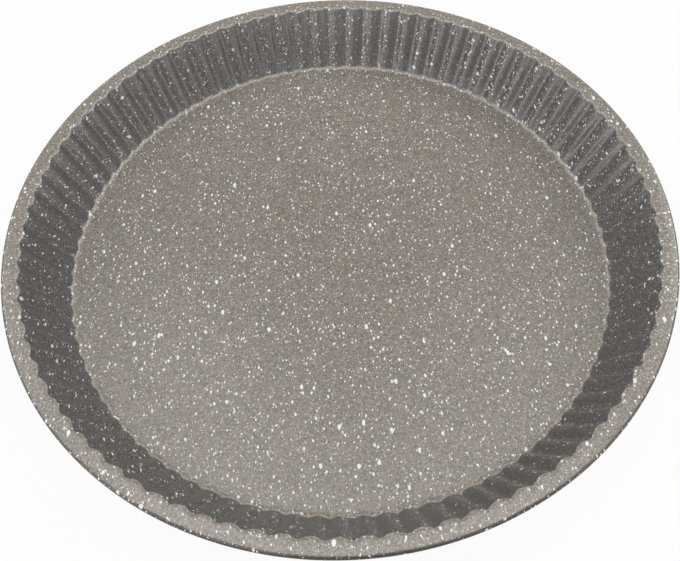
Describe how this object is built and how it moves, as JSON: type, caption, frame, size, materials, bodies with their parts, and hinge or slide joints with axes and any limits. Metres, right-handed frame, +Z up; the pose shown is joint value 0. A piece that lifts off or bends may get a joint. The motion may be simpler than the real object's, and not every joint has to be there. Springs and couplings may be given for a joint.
{
  "type": "quiche dish",
  "caption": "Round fluted quiche dish pressed from coated steel sheet, with a flat floor, a leaning fluted wall and a flat flange whose outer edge is rolled round a wire.",
  "frame": {"origin": "centre of the underside, on the surface that the dish stands on", "axes": "+Z up out of the mouth along the round dish's axis, -Y towards the viewer of the picture, +X to the viewer's right"},
  "size_m": [0.28, 0.28, 0.0272],
  "materials": {
    "coating": "satin",
    "wire": "satin"
  },
  "bodies": {
    "root": {"pan_body": "coating", "rim_wire": "wire"}
  },
  "joints": []
}
